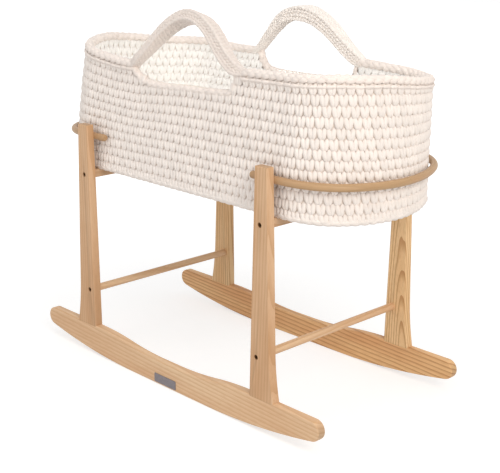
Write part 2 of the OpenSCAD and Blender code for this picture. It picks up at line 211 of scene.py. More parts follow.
def metal(name, bright, dull, rough, stretch):
    """Plated or rolled metal with a fine brushed line and a slightly cloudy film."""
    material, tree, shader = blank_material(name)
    place = node(tree, "TexCoord").outputs["Object"]
    # brush marks 0.3 mm apart, long in one direction
    brushed = node(tree, "Mapping", {"Vector": place, "Scale": stretch}).outputs[0]
    marks = node(tree, "TexNoise", {"Vector": brushed, "Scale": 1, "Detail": 2}).outputs["Fac"]
    # cloudy patches of 6 mm
    film = node(tree, "TexNoise", {"Vector": place, "Scale": 1 / 0.006, "Detail": 2})
    feed(tree, shader, {
        "Base Color": mix(tree, film.outputs["Fac"], colour(bright), colour(dull)),
        "Roughness": ranged(tree, marks, 0, 1, rough - 0.1, rough + 0.12),
        "Normal": bumped(tree, marks, 0.2, 0.0001), "Metallic": 1})
    return material


pine = wood("pine_planed_lacquered", "#dbb691", "#b58555", "#cda27a", 7.0, 0.3, 0.4, 0.5)
# a lighter copy of the pine for the front rocker and stretchers: painted light, for the light the floor
# bounces onto these low pieces
lit_pine = wood("pine_lightened_lacquered", "#e9c9a4", "#c29263", "#dcb48d", 8.0, 0.3, 0.4, 0.5)
flat_pine = wood("pine_flat_sawn_lacquered", "#f2cf9f", "#ad7640", "#e7bd89", 6.0, 0.5, 0.7, 0.5)
red_pine = wood("pine_red_lacquered", "#f0c590", "#a66835", "#e2ad7a", 9.0, 0.45, 0.6, 0.5)
rod_wood = wood("cane_rod_satin", "#c19f78", "#9a7850", "#b48e69", 4.0, 0.25, 0.3, 0.42)
beech = wood("beech_dowel_plain", "#dfc39c", "#b98f62", "#d6b386", 2.5, 0.25, 0.4, 0.6)
cord = cotton("cotton_cord_crocheted", "#f7efe9", "#efe3d8", 0.1)
# a slightly darker copy of the same cord: painted shade between the links, and held back where the rim
# catches strong light
shaded_plait_cord = cotton("cotton_cord_plaited", "#f6ece5", "#ece0d6", 0.0)
# the same cord painted darker for the front strap, as painted shade, and lighter for the rear strap, as
# painted light
front_strap_cord = cotton("cotton_cord_front_strap", "#ece2db", "#ded2c8", 0.0)
rear_strap_cord = cotton("cotton_cord_rear_strap", "#faf3ed", "#f1e8df", 0.0)
# a lighter copy of the same cord for the inside of the wall and the top of the floor: painted light, standing
# in for light the inside doesn't get
lit_inside_cord = cotton("cotton_cord_inside", "#fffdfa", "#f9f3ec", 0.2)
# a darker copy of the cord for the layer behind the stitches: painted shade in the gaps between them
shaded_core_cord = cotton("cotton_cord_inner", "#efe4d9", "#dfd2c4", 0.1)
bronzed = metal("bronzed_steel", "#6a4e33", "#46331f", 0.4, (900, 900, 3000))
brass = metal("brass_turned", "#b99b5c", "#9a7e44", 0.35, (3000, 400, 3000))
plate_metal = metal("steel_plate_brushed", "#8d878a", "#747075", 0.4, (60, 3000, 3000))


# Making pieces

def vectors(data, field):
    rows = np.zeros(len(data) * 3)
    data.foreach_get(field, rows)
    return rows.reshape(-1, 3)


def points(obj):
    return vectors(obj.data.vertices, "co")


def note(obj, name, values):
    """Writes a value or vector for each point, which the material reads."""
    values = np.asarray(values, np.float32)
    kind, field = ("FLOAT_VECTOR", "vector") if values.ndim == 2 else ("FLOAT", "value")
    attribute = obj.data.attributes.get(name) or obj.data.attributes.new(name, kind, "POINT")
    attribute.data.foreach_set(field, values.ravel())


def meshed(bm, name):
    mesh = bpy.data.meshes.new(name)
    bm.to_mesh(mesh)
    bm.free()
    return mesh


def placed(name, data):
    obj = bpy.data.objects.new(name, data)
    scene.collection.objects.link(obj)
    return obj


def piece(bm, name, material, body, slot, *nodes):
    """Puts a finished mesh in the scene as a piece that rides on a body."""
    obj = placed(name, meshed(bm, name))
    obj.data.materials.append(material)
    if body:
        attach(obj, body)
    if nodes:
        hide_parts(*nodes)
    return obj


def settle(obj):
    """Applies a piece's modifiers to its mesh."""
    graph = bpy.context.evaluated_depsgraph_get()
    done = obj.evaluated_get(graph)
    mesh = bpy.data.meshes.new_from_object(done, preserve_all_data_layers=True, depsgraph=graph)
    obj.modifiers.clear()
    obj.data = mesh
    return obj


def soften(obj, degrees=38):
    """Smooth shading, with sharp edges kept crisp and flat faces flat."""
    obj.data.shade_smooth()
    obj.data.set_sharp_from_angle(angle=math.radians(degrees))
    flat = obj.modifiers.new("flat_faces", "WEIGHTED_NORMAL")
    flat.keep_sharp = True
    return obj


def ease(bm, edges, size, segments=3):
    bmesh.ops.bevel(bm, geom=edges, offset=size, offset_type="OFFSET", segments=segments, profile=0.5,
                    affect="EDGES", clamp_overlap=True, material=-1)


def resize(bm, vec):
    bmesh.ops.scale(bm, vec=vec, verts=bm.verts)


def to_metres(bm):
    resize(bm, (MM, MM, MM))


def shift(bm, vec, verts=None):
    bmesh.ops.translate(bm, verts=verts or bm.verts, vec=vec)


def double(bm, axis):
    """Mirrors half a piece across its middle, and joins the halves."""
    made = bm.verts[:] + bm.edges[:] + bm.faces[:]
    bmesh.ops.mirror(bm, geom=made, matrix=Matrix(), merge_dist=CLOSE, axis=axis)
    bmesh.ops.remove_doubles(bm, verts=bm.verts, dist=CLOSE)


def face_out(bm):
    bmesh.ops.recalc_face_normals(bm, faces=bm.faces)


def new_points(grown):
    """The points among what an operator made."""
    return [part for part in grown if isinstance(part, bmesh.types.BMVert)]


def cylinder(bm, radius, length, matrix):
    bmesh.ops.create_cone(bm, cap_ends=True, segments=TURNED_SIDES, radius1=radius, radius2=radius,
                          depth=length, matrix=matrix)


def drill(obj, holes):
    """Cuts holes, each (start, axis, diameter, depth), out of a piece."""
    bm = bmesh.new()
    for start, axis, diameter, depth in holes:
        turn = Vector(axis).to_track_quat("Z", "Y").to_matrix().to_4x4()
        middle = Matrix.Translation(Vector(start) + Vector(axis) * depth / 2)
        cylinder(bm, diameter / 2, depth, middle @ turn)
    to_metres(bm)
    bits = placed("bits", meshed(bm, "bits"))
    cut = obj.modifiers.new("holes", "BOOLEAN")
    cut.operation = "DIFFERENCE"
    cut.solver = "EXACT"
    cut.object = bits
    settle(obj)
    bpy.data.objects.remove(bits)


def sweep(bm, parts, centre, axis, angle, steps):
    """Carries parts round an axis, and gives back their copies at the end."""
    return bmesh.ops.spin(bm, geom=parts, cent=centre, axis=axis, dvec=(0, 0, 0), angle=angle, steps=steps,
                          use_duplicate=False)["geom_last"]


def arc(bm, corner, centre, degrees, steps):
    """Carries an outline on from a corner round a centre (x, z), and gives back its new end."""
    return sweep(bm, [corner], (centre[0], 0, centre[1]), (0, -1, 0), math.radians(degrees), steps)[0]


def line(bm, corner, *ends):
    """Carries an outline straight on through points (x, z), and gives back its new end."""
    for x, z in ends:
        end = bm.verts.new((x, 0, z))
        bm.edges.new((corner, end))
        corner = end
    return corner


def board(bm, side, foot=None):
    """Makes a closed outline a board of the front (-1) or rear (1) side frame, with eased
    arrises, apart from those at the height of a foot that is glued down."""
    outline = bmesh.ops.contextual_create(bm, geom=bm.edges[:])["faces"]
    shift(bm, (0, -FACE_Y if side < 0 else FACE_Y - BOARD_T, 0))
    grown = bmesh.ops.extrude_face_region(bm, geom=outline)["geom"]
    shift(bm, (0, BOARD_T, 0), new_points(grown))
    face_out(bm)
    glued = [e for e in bm.edges if foot and all(abs(v.co.z - foot) < CLOSE for v in e.verts)]
    sharp = [e for e in bm.edges if e.calc_face_angle(0) > SHARP and e not in glued]
    ease(bm, sharp, ARRIS)
    to_metres(bm)


def give_grain(obj, axis, pith, slope):
    """Notes each point's place in the log it was cut from: two ways across from the pith,
    which may slope against the piece, and along the grain. Notes too how far it faces along it."""
    order = {"x": (2, 1, 0), "y": (0, 2, 1), "z": (0, 1, 2)}[axis]
    log = points(obj)[:, order]
    log[:, 0] += slope[0] * log[:, 2] - pith[0] * MM
    log[:, 1] += slope[1] * log[:, 2] - pith[1] * MM
    note(obj, "grain", log)
    note(obj, "end", abs(vectors(obj.data.vertex_normals, "vector")[:, order[2]]))


# Rockers and posts

# steps of the curves in the boards' outlines
RUNNER_STEPS, NOSE_STEPS, DIP_STEPS, FLARE_STEPS = 24, 18, 12, 12


def post_in(z):
    """How far out a post's inner edge lies at a height."""
    return POST_IN + POST_LEAN * (z - ROCKER_TOP) / (POST_TOP - ROCKER_TOP)


SHANK_Z = ROCKER_TOP + FLARE_H
SHANK_OUT = post_in(SHANK_Z) + SHANK_W
TOP_OUT = post_in(POST_TOP) + POST_TOP_W
OUT_LEAN = math.atan2(SHANK_OUT - TOP_OUT, POST_TOP - SHANK_Z)


def post_out(z):
    """How far out the outer edge of a post's shank lies at a height."""
    return TOP_OUT + (POST_TOP - z) * math.tan(OUT_LEAN)


def rocker(name, side, material, pith, slope):
    """Shaped board: flat sole, curved runners, round noses and a top edge dipped at the waist."""
    # the nose touches the runner's arc, the top edge and the rocker's length
    reach = ROCKER_X - SOLE_X
    drop = RUNNER_R - ROCKER_TOP
    room = drop + RUNNER_R - reach
    nose_r = math.sqrt(room * room - reach ** 2 - drop ** 2 + RUNNER_R ** 2) - room
    nose = (ROCKER_X - nose_r, ROCKER_TOP - nose_r)
    nose_turn = math.degrees(math.atan2(nose[1] - RUNNER_R, nose[0] - SOLE_X))
    # the dip is two equal arcs between the post and the waist
    run = POST_IN - WAIST_X
    dip = ROCKER_TOP - WAIST_TOP
    dip_r = (run ** 2 + dip ** 2) / (4 * dip)
    dip_turn = math.degrees(math.asin(run / 2 / dip_r))
    bm = bmesh.new()
    end = line(bm, bm.verts.new((0, 0, 0)), (SOLE_X, 0))
    end = arc(bm, end, (SOLE_X, RUNNER_R), nose_turn + 90, RUNNER_STEPS)
    end = arc(bm, end, nose, 90 - nose_turn, NOSE_STEPS)
    end = line(bm, end, (POST_IN, ROCKER_TOP))
    end = arc(bm, end, (POST_IN, ROCKER_TOP - dip_r), dip_turn, DIP_STEPS)
    end = arc(bm, end, (WAIST_X, WAIST_TOP + dip_r), -dip_turn, DIP_STEPS)
    line(bm, end, (0, WAIST_TOP))
    double(bm, "X")
    board(bm, side)
    obj = piece(bm, name + "_board", material, "stand", "pine", name)
    give_grain(soften(obj), "x", pith, slope)


def post(name, side, end, material, pith, slope):
    """Tapered board whose foot flares to the outside, bored for bolts and grooved for the hoop."""
    foot = ROCKER_TOP - ARRIS
    # the flare is an arc that runs on from the shank's own slope down to the foot
    outward = Vector((math.cos(OUT_LEAN), math.sin(OUT_LEAN)))
    chord = Vector((FLARE_OUT - SHANK_OUT, -FLARE_H))
    flare_r = chord.length_squared / (2 * chord.dot(outward))
    centre = Vector((SHANK_OUT, SHANK_Z)) + outward * flare_r
    flare = math.asin((centre.y - foot) / flare_r) - OUT_LEAN
    bm = bmesh.new()
    first = bm.verts.new((post_in(foot), 0, foot))
    corner = line(bm, first, (post_in(POST_TOP), POST_TOP), (TOP_OUT, POST_TOP), (SHANK_OUT, SHANK_Z))
    corner = arc(bm, corner, centre, math.degrees(flare), FLARE_STEPS)
    bm.edges.new((corner, first))
    if end < 0:
        resize(bm, (-1, 1, 1))
    board(bm, side, foot)
    obj = piece(bm, name + "_board", material, "stand", "pine", name)
    face = side * (FACE_Y + DRILL_OVER)
    inward = (0, -side, 0)
    through = DRILL_OVER + BOARD_T + DRILL_PAST
    rail_x = end * (post_in(RAIL_Z) + RAIL_IN)
    stretcher_x = end * (post_in(STRETCHER_Z) + STRETCHER_IN)
    drill(obj, [((rail_x, face, RAIL_Z), inward, BOLT_HOLE, through),
                ((stretcher_x, face, STRETCHER_Z), inward, BOLT_HOLE, through),
                ((end * GROOVE_X, side * HOOP_Y, HOOP_Z), (end, 0, 0), 2 * HOOP_R + GROOVE_PLAY, GROOVE_L)])
    give_grain(soften(obj), "z", pith, slope)


# each board with its pith's place across the log, and how its grain slopes
rocker("front_rocker", -1, lit_pine, (150, -165), (0.014, 0.05))
rocker("rear_rocker", 1, red_pine, (-22, 176), (0.03, 0.03))
post("front_left_post", -1, -1, pine, (-370, -180), (0.02, 0.01))
post("front_right_post", -1, 1, pine, (170, -170), (-0.02, 0.015))
post("rear_left_post", 1, -1, flat_pine, (-190, 230), (0.015, 0.02))
post("rear_right_post", 1, 1, flat_pine, (298, 198), (0.03, 0.1))


# Rails, stretchers and hoops

def rail(name, end, pith):
    """Square cross rail with well eased edges, bolted between two posts."""
    bm = bmesh.new()
    bmesh.ops.create_cube(bm, size=1)
    resize(bm, (RAIL_W, 2 * (FACE_Y - BOARD_T), RAIL_W))
    ease(bm, [e for e in bm.edges if abs(e.verts[0].co.y - e.verts[1].co.y) > 1], RAIL_ARRIS, segments=4)
    shift(bm, (end * (post_in(RAIL_Z) + RAIL_IN), 0, RAIL_Z))
    to_metres(bm)
    obj = piece(bm, name + "_bar", pine, "stand", "pine", name)
    give_grain(soften(obj), "y", pith, (0.02, 0.01))


def stretcher(name, end, pith):
    """Turned dowel, its ends let into the posts."""
    bm = bmesh.new()
    cylinder(bm, STRETCHER_R, 2 * (FACE_Y - BOARD_T + SOCKET), Matrix.Rotation(math.pi / 2, 4, "X"))
    ease(bm, [e for e in bm.edges if abs(e.verts[0].co.y - e.verts[1].co.y) < 1], DOWEL_ARRIS, segments=2)
    shift(bm, (end * (post_in(STRETCHER_Z) + STRETCHER_IN), 0, STRETCHER_Z))
    to_metres(bm)
    obj = piece(bm, name + "_dowel", lit_pine, "stand", "pine", name)
    give_grain(soften(obj), "y", pith, (0.03, 0.02))


rail("left_rail", -1, (-320, 380))
rail("right_rail", 1, (225, 385))
stretcher("left_stretcher", -1, (-290, 120))
stretcher("right_stretcher", 1, (240, 175))

# the oval that hoops and basket share: straight sides, corner bends and wide end bends
LEG_IN = post_in(HOOP_Z) - HOOP_STUB
SIDE_X = post_out(HOOP_Z) + HOOP_PAST
CORNER_Y = HOOP_Y - HOOP_CORNER_R
END_R = (HOOP_BOW ** 2 + HOOP_Y ** 2 - 2 * HOOP_Y * HOOP_CORNER_R) / (2 * (HOOP_BOW - HOOP_CORNER_R))
END_X = SIDE_X + HOOP_BOW - END_R
END_A = math.atan2(CORNER_Y, SIDE_X - END_X)
# easing of a hoop's tip, as steps along and shares of its radius
TIP_STEPS = ((0, 0.35), (0.4, 0.61), (1.5, 0.83), (3.1, 0.95), (5.1, 1))
# sides of a rod, and steps round a corner bend and half the end bend
ROD_SIDES, CORNER_STEPS, END_STEPS = 20, 22, 14
# a screw's seat: plain rod before it, how far off the rod its bit starts, and how far that goes
SEAT_ROOM, SEAT_OVER, SEAT_L = 20, 1.5, 4.5
# the pith's place beside the rod, and how the rings slope along it
ROD_PITH, ROD_SLOPE = (21, 9), 0.01
# how the hanging of bends and ends grows outwards
SAG_POWER = 1.5


def hoop(name, end):
    """Bent rod: straight legs on the posts, two corner bends and a wide end bend that hangs a little."""
    bm = bmesh.new()
    start = Matrix.Translation((LEG_IN, -HOOP_Y, HOOP_Z)) @ Matrix.Rotation(math.pi / 2, 4, "Y")
    tip = bmesh.ops.create_circle(bm, segments=ROD_SIDES, radius=HOOP_R, matrix=start)["verts"]
    middle = Matrix.Translation((0, HOOP_Y, -HOOP_Z))
    bmesh.ops.scale(bm, vec=(1, TIP_STEPS[0][1], TIP_STEPS[0][1]), verts=tip, space=middle)
    bmesh.ops.contextual_create(bm, geom=tip)
    ring = bm.edges[:]
    legs = [(LEG_IN + run, share) for run, share in TIP_STEPS[1:]]
    reached, size = LEG_IN, TIP_STEPS[0][1]
    for x, share in legs + [(SCREW_X - SEAT_ROOM, 1), (SCREW_X, 1), (SIDE_X, 1)]:
        grown = bmesh.ops.extrude_edge_only(bm, edges=ring)["geom"]
        ring = [part for part in grown if isinstance(part, bmesh.types.BMEdge)]
        shift(bm, (x - reached, 0, 0), new_points(grown))
        bmesh.ops.scale(bm, vec=(1, share / size, share / size), verts=new_points(grown), space=middle)
        reached, size = x, share
    last = ring + list({v for e in ring for v in e.verts})
    last = sweep(bm, last, (SIDE_X, -CORNER_Y, HOOP_Z), (0, 0, 1), math.pi / 2 - END_A, CORNER_STEPS)
    sweep(bm, last, (END_X, 0, HOOP_Z), (0, 0, 1), END_A, END_STEPS)
    double(bm, "Y")
    for v in bm.verts:
        v.co.z -= HOOP_SAG * (max(0, v.co.x - SIDE_X) / HOOP_BOW) ** SAG_POWER
    if end < 0:
        resize(bm, (-1, 1, 1))
    face_out(bm)
    to_metres(bm)
    obj = piece(bm, name + "_rod", rod_wood, "stand", "hoop_rod", name)
    seat_y = HOOP_Y - HOOP_R - SEAT_OVER
    drill(obj, [((end * SCREW_X, side * seat_y, HOOP_Z), (0, side, 0), SCREW_HEAD, SEAT_L)
                for side in (-1, 1)])
    # the grain runs along the rod, round its bends
    co = points(obj) / MM
    x, y = np.abs(co[:, 0]), np.abs(co[:, 1])
    bend, tip_turn = np.arctan2(y - CORNER_Y, x - SIDE_X), np.arctan2(y, x - END_X)
    where = [x < SIDE_X, tip_turn < END_A]
    round_bend = SIDE_X + (math.pi / 2 - bend) * HOOP_CORNER_R
    round_tip = SIDE_X + HOOP_CORNER_R * (math.pi / 2 - END_A) + (END_A - tip_turn) * END_R
    gone = np.select(where, [x, round_tip], round_bend) * np.sign(co[:, 1] + 1e-6)
    off_bend = np.hypot(x - SIDE_X, y - CORNER_Y) - HOOP_CORNER_R
    across = np.select(where, [y - HOOP_Y, np.hypot(x - END_X, y) - END_R], off_bend)
    up = co[:, 2] - HOOP_Z
    log = np.stack([across + ROD_PITH[0], up + ROD_PITH[1] + ROD_SLOPE * gone, gone], 1)
    note(soften(obj), "grain", log * MM)


hoop("left_hoop", -1)
hoop("right_hoop", 1)


# Bare metal plate on the front rocker, and the fasteners, which keep their solids' shape

PLATE_SIZE, PLATE_X, PLATE_Z, PLATE_PROUD = (69, 1, 20), -6.5, 13.5, 0.3
PLATE_CORNER_R, PLATE_ARRIS = 2.5, 0.35
bm = bmesh.new()
bmesh.ops.create_cube(bm, size=1)
resize(bm, PLATE_SIZE)
ease(bm, [e for e in bm.edges if abs(e.verts[0].co.y - e.verts[1].co.y) > 0.5], PLATE_CORNER_R, segments=4)
ease(bm, [e for e in bm.edges if all(v.co.y < -0.4 for v in e.verts)], PLATE_ARRIS, segments=2)
shift(bm, (PLATE_X, -FACE_Y - PLATE_PROUD, PLATE_Z))
to_metres(bm)
soften(piece(bm, "bare_plate", plate_metal, "stand", "steel"))

for name, material in (("rail_bolts", bronzed), ("stretcher_bolts", bronzed), ("hoop_screws", bronzed),
                       ("rail_inserts", brass), ("stretcher_inserts", brass), ("post_dowels", beech)):
    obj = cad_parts[name]
    obj.data.materials.clear()
    obj.data.materials.append(material)
give_grain(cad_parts["post_dowels"], "z", (260, -230), (0.02, 0.02))


# Crocheted basket

# the oval of the wall's outer skin from the middle of the front, turning left: straights as
# (length, start x, y, direction), bends as (length, centre x, y, radius, start angle)
BEND_R, TIP_R, SIDE_Y = HOOP_CORNER_R - SKIN_IN, END_R - SKIN_IN, HOOP_Y - SKIN_IN
BEND_L = BEND_R * (math.pi / 2 - END_A)
TIP_L = TIP_R * 2 * END_A
ROUND = (
    (SIDE_X, 0, -SIDE_Y, 1),
    (BEND_L, SIDE_X, -CORNER_Y, BEND_R, -math.pi / 2),
    (TIP_L, END_X, 0, TIP_R, -END_A),
    (BEND_L, SIDE_X, CORNER_Y, BEND_R, END_A),
    (2 * SIDE_X, SIDE_X, SIDE_Y, -1),
    (BEND_L, -SIDE_X, CORNER_Y, BEND_R, math.pi / 2),
    (TIP_L, -END_X, 0, TIP_R, math.pi - END_A),
    (BEND_L, -SIDE_X, -CORNER_Y, BEND_R, math.pi + END_A),
    (SIDE_X, -SIDE_X, -SIDE_Y, 1))
GIRTH = sum(part[0] for part in ROUND)
PITCH = GIRTH / STITCHES
# how far each row of stitches sets off from the one below
SHEAR = -0.32 * PITCH
# how much lower or higher than its height the soft rim hangs, at places round the girth
HANG = ((0, -3), (150, 0), (300, 3), (400, 5), (500, 0), (580, -10), (660, -18), (740, -21), (820, -16),
        (935, -11), (1095, -13), (1300, -14), (1400, -8), (1540, -8), (1620, 4), (1700, 13), (1740, 12),
        (1820, 4), (1900, -9), (1975, -18), (2045, -20), (2130, -9), (GIRTH, -3))
# how that grows with the height, and how far up it goes on growing
HANG_POWER, HANG_STOP = 1.4, 1.1
# how far the right end sinks where no rail carries it
END_SINK = 7
# slow unevenness of soft work: how far waves and ripples go, how often in a round, how they shift
# with height, and where ripples are full
WAVE, WAVE_TURNS, WAVE_H = 0.5, (6, 2), (37, 53)
RIPPLE, RIPPLE_TURNS, RIPPLE_H, RIPPLE_FULL_H = 0.9, 4, 29, 40
# how far the wall turns under at the floor, from which height, and the height that it takes
UNDER, UNDER_H, UNDER_RUN = 7, 10, 14


def oval(s):
    """Places and outward directions on the outer skin, s mm round from the middle of the front."""
    s = np.mod(s, GIRTH)
    x, y, nx, ny = (np.zeros_like(s) for _ in range(4))
    start = 0
    for part in ROUND:
        here = (s >= start) & (s <= start + part[0])
        run = s[here] - start
        if len(part) == 4:
            x[here] = part[1] + part[3] * run
            y[here] = part[2]
            ny[here] = math.copysign(1, part[2])
        else:
            turn = part[4] + run / part[3]
            nx[here] = np.cos(turn)
            ny[here] = np.sin(turn)
            x[here] = part[1] + part[3] * nx[here]
            y[here] = part[2] + part[3] * ny[here]
        start += part[0]
    return x, y, nx, ny


def sink(x):
    """How far the basket's right end has sunk at x."""
    return END_SINK * np.clip((x - SIDE_X) / HOOP_BOW, 0, 1) ** SAG_POWER


def wall(s, h, w):
    """A point of the basket's wall in mm: s round, h up from the floor, w out of the outer skin.
    It draws in towards the rim, leans to the right, hangs unevenly and turns under at the floor."""
    x, y, nx, ny = oval(s)
    share = np.clip((h - DRAW_H) / (RIM_H - DRAW_H), 0, 1)
    # the unevenness meets itself after a round
    turn = 2 * math.pi * s / GIRTH
    w = w - WAVE + WAVE * (np.sin(WAVE_TURNS[0] * turn + h / WAVE_H[0])
                           * np.sin(h / WAVE_H[1] - WAVE_TURNS[1] * turn))
    w = w - UNDER * np.clip((UNDER_H - h) / UNDER_RUN, 0, 1) ** 2
    x, y = x + nx * (w - SIDE_DRAW * share), y + ny * (w - SIDE_DRAW * share)
    low = sink(x) * np.clip(1 - h / RIM_H, 0, 1)
    x = x * (1 - END_DRAW * share / (SIDE_X + HOOP_BOW)) + RIM_SHIFT * share
    hang = np.interp(np.mod(s, GIRTH), [p[0] for p in HANG], [p[1] for p in HANG])
    ripple = RIPPLE * np.sin(RIPPLE_TURNS * turn + h / RIPPLE_H) * np.clip(h / RIPPLE_FULL_H, 0, 1)
    z = FLOOR_Z + h + hang * np.clip(h / RIM_H, 0, HANG_STOP) ** HANG_POWER + ripple - low
    return np.stack([x, y, z], -1)


# sides and rings of a stretch of cord, how full its head and foot are, and the depth at which the painted
# shade of the gaps is full
STRAND_SIDES, STRAND_RINGS, HEAD_FULL, FOOT_FULL, DEEPEST = 8, 6, 3, 2.3, 10
# how loosely stitches sit, and how far apart in the yarn their fibres lie
LOOSE, FIBRES_APART = (1.2, 0.5, 0.9), 7
# the distance in metres within which points of a sheet are one
WELD = 0.0001


def strand(bm, foot, head, bulge, wide, deep):
    """One plump stretch of cord in flat fabric (x along, y out, z up, in mm), its middle pushed
    out by a bulge. Notes the cord's own coordinates and how deep each point lies."""
    own = bm.verts.layers.float_vector["strand"]
    depth = bm.verts.layers.float["deep"]
    foot, head = Vector(foot), Vector(head)
    way = (head - foot).normalized()
    beside = way.cross(Vector((0, 1, 0))).normalized()
    out = beside.cross(way)
    ball = bmesh.ops.create_uvsphere(bm, u_segments=STRAND_SIDES, v_segments=STRAND_RINGS, radius=1)
    for v in ball["verts"]:
        t = v.co.z
        ring = max(math.hypot(v.co.x, v.co.y), 1e-6)
        # plump at the head, more pointed at the foot
        full = math.sqrt(max(0, 1 - abs(t) ** (HEAD_FULL if t > 0 else FOOT_FULL))) / ring
        a = v.co.x * wide * full
        b = v.co.y * deep * full
        run = (t + 1) / 2
        v[own] = (a * MM, b * MM, run * (head - foot).length * MM)
        v.co = foot.lerp(head, run) + out * bulge * (1 - t * t) + beside * a + out * b
        v[depth] = min(1, max(0, -v.co.y / DEEPEST))


def stitch(*strands):
    """A stitch of a few strands, each (foot, head, bulge, half width, half depth)."""
    bm = bmesh.new()
    bm.verts.layers.float_vector.new("strand")
    bm.verts.layers.float.new("deep")
    for one in strands:
        strand(bm, *one)
    face_out(bm)
    return meshed(bm, "stitch")


def crochet(one, across, rows, place, keep=None, first=0):
    """Repeats a stitch over a flat panel and lays every point where place(x, z, y, row) says, in
    mm. Stitches that keep(x, row) turns down are left out. Gives back the work as one mesh."""
    obj = placed("crochet", one.copy())
    for count, step in ((across, (PITCH, 0, 0)), (rows, (0, 0, ROW))):
        copies = obj.modifiers.new("repeat", "ARRAY")
        copies.use_relative_offset = False
        copies.use_constant_offset = True
        copies.constant_offset_displace = step
        copies.count = count
    settle(obj)
    flat = points(obj)
    which = np.arange(len(flat)) // len(one.vertices)
    column, row = which % across + first, which // across
    tones = chance.rand(across * rows)[which]
    # each stitch sits a little differently from its neighbours
    flat += (chance.rand(across * rows, 3) - 0.5)[which] * LOOSE
    laid = place(flat[:, 0] + first * PITCH, flat[:, 2], flat[:, 1] - LOOSE[1] / 2, row)
    obj.data.vertices.foreach_set("co", (laid * MM).ravel())
    note(obj, "tone", tones)
    own = vectors(obj.data.attributes["strand"].data, "vector")
    # no two stitches show the same fibres
    own[:, 2] += tones * FIBRES_APART
    note(obj, "strand", own)
    bm = bmesh.new()
    bm.from_mesh(obj.data)
    if keep:
        stays = keep((column + 0.5) * PITCH, row)
        bmesh.ops.delete(bm, geom=[v for v, stay in zip(bm.verts, stays) if not stay], context="VERTS")
    face_out(bm)
    mesh = obj.data
    bm.to_mesh(mesh)
    bm.free()
    bpy.data.objects.remove(obj)
    return mesh


def fabric(name, meshes, body, *nodes, material=cord):
    """Makes one cotton piece of several meshes of crochet."""
    bm = bmesh.new()
    for mesh in meshes:
        bm.from_mesh(mesh)
    obj = piece(bm, name, material, body, "cotton", *nodes)
    obj.data.shade_smooth()
    return obj


def lay_sheet(bm, places):
    """Lays a grid's points at places in mm, and joins it where it closes on itself."""
    for v, co in zip(bm.verts, places):
        v.co = co * MM
    bmesh.ops.remove_doubles(bm, verts=bm.verts, dist=WELD)
    face_out(bm)


def sheet(columns, rows, place):
    """A grid laid where place(u, v) says for shares u and v of its sides."""
    bm = bmesh.new()
    bmesh.ops.create_grid(bm, x_segments=columns, y_segments=rows, size=0.5)
    flat = np.array([v.co for v in bm.verts]) + 0.5
    lay_sheet(bm, place(flat[:, 0], flat[:, 1]))
    return bm


def inner_layer(bm, name, body, material=shaded_core_cord):
    """The layer that lies behind the stitches and closes the gaps between them. In its default cord, darker
    than the stitches, it is painted shade in those gaps.
    """
    obj = piece(bm, name, material, body, "cotton")
    obj.data.shade_smooth()
    note(obj, "strand", points(obj))
    note(obj, "tone", np.full(len(obj.data.vertices), 0.5))
    return obj


# Wall, with a hand opening in each side

# a single crochet stitch: two legs that meet at the foot, their heads tucked behind the next row
FOOT_X, FOOT_Y, FOOT_Z = (-1.8, 1.8), -4.8, -4.6
HEAD_X, HEAD_Y, HEAD_Z = (-9.2, 3.6), -8.8, 19.6
LEG_BULGE, LEG_W, LEG_D = 1.4, 5.5, 4.4
vee = stitch(*(((foot, FOOT_Y, FOOT_Z), (head, HEAD_Y, HEAD_Z), LEG_BULGE, LEG_W, LEG_D)
               for foot, head in zip(FOOT_X, HEAD_X)))
# how much of their depth the stitches show on the inside
INSIDE_SHARE = 0.45
# the inner layer's depth under the outer skin, its thickness and how far it keeps from an opening
CORE_IN, CORE_T, CORE_MARGIN = 7, 8.5, 16
# the ends of the openings in the top rows, as places round from the middle of the front and rear
OPEN_ROWS = {11: ((-127, 148), (-156, 124)),
             12: ((-156, 148), (-156, 136))}


def whole(s, row, margin=0):
    """Whether a place in a row of the wall is worked, and further than a margin from an opening.
    Places round the rear count from its middle."""
    s = np.mod(s, GIRTH)
    front = np.where(s > GIRTH / 2, s - GIRTH, s)
    rear = s - GIRTH / 2
    worked = np.ones(len(s), bool)
    for open_row, (ahead, behind) in OPEN_ROWS.items():
        for place, (start, stop) in ((front, ahead), (rear, behind)):
            worked &= ~((row == open_row) & (place > start - margin) & (place < stop + margin))
    return worked


def kept(s, row):
    return whole(s + row * SHEAR, row)


def outside(x, z, y, row):
    """Where a point of a flat panel lies on the wall's outer skin."""
    return wall(x + 0.5 * PITCH + row * SHEAR, z + ROW_START, y)


def inside(x, z, y, row):
    """Where it lies on the inner skin."""
    return outside(x, z, -WALL_T - INSIDE_SHARE * y, row)


half = STITCHES // 2
for label, first in (("right", 0), ("left", half)):
    fabric("wall_outside_" + label, [crochet(vee, half, ROWS, outside, kept, first)], "basket", "basket_wall")
    fabric("wall_inside_" + label, [crochet(vee, half, ROWS, inside, kept, first)], "basket", "basket_wall",
           material=lit_inside_cord)

bm = sheet(STITCHES * 2, ROWS * 2, lambda u, v: np.stack([u * GIRTH, v * ROWS * ROW, 0 * u], -1))
middles = np.array([f.calc_center_median() for f in bm.faces]) / MM
worked = whole(middles[:, 0], (middles[:, 1] / ROW).astype(int), CORE_MARGIN)
gaps = [f for f, there in zip(bm.faces, worked) if not there]
bmesh.ops.delete(bm, geom=gaps, context="FACES")
flat = np.array([v.co for v in bm.verts]) / MM
lay_sheet(bm, wall(flat[:, 0], flat[:, 1] + ROW_START, np.full(len(flat), -CORE_IN)))
bmesh.ops.solidify(bm, geom=bm.faces[:], thickness=CORE_T * MM)
inner_layer(bm, "wall_core", "basket")


# Plaited edges

# how often a line's corners are cut, and how far round a place its direction is taken
CUTS, WALL_STEP, STRAP_STEP = 4, 2, 4
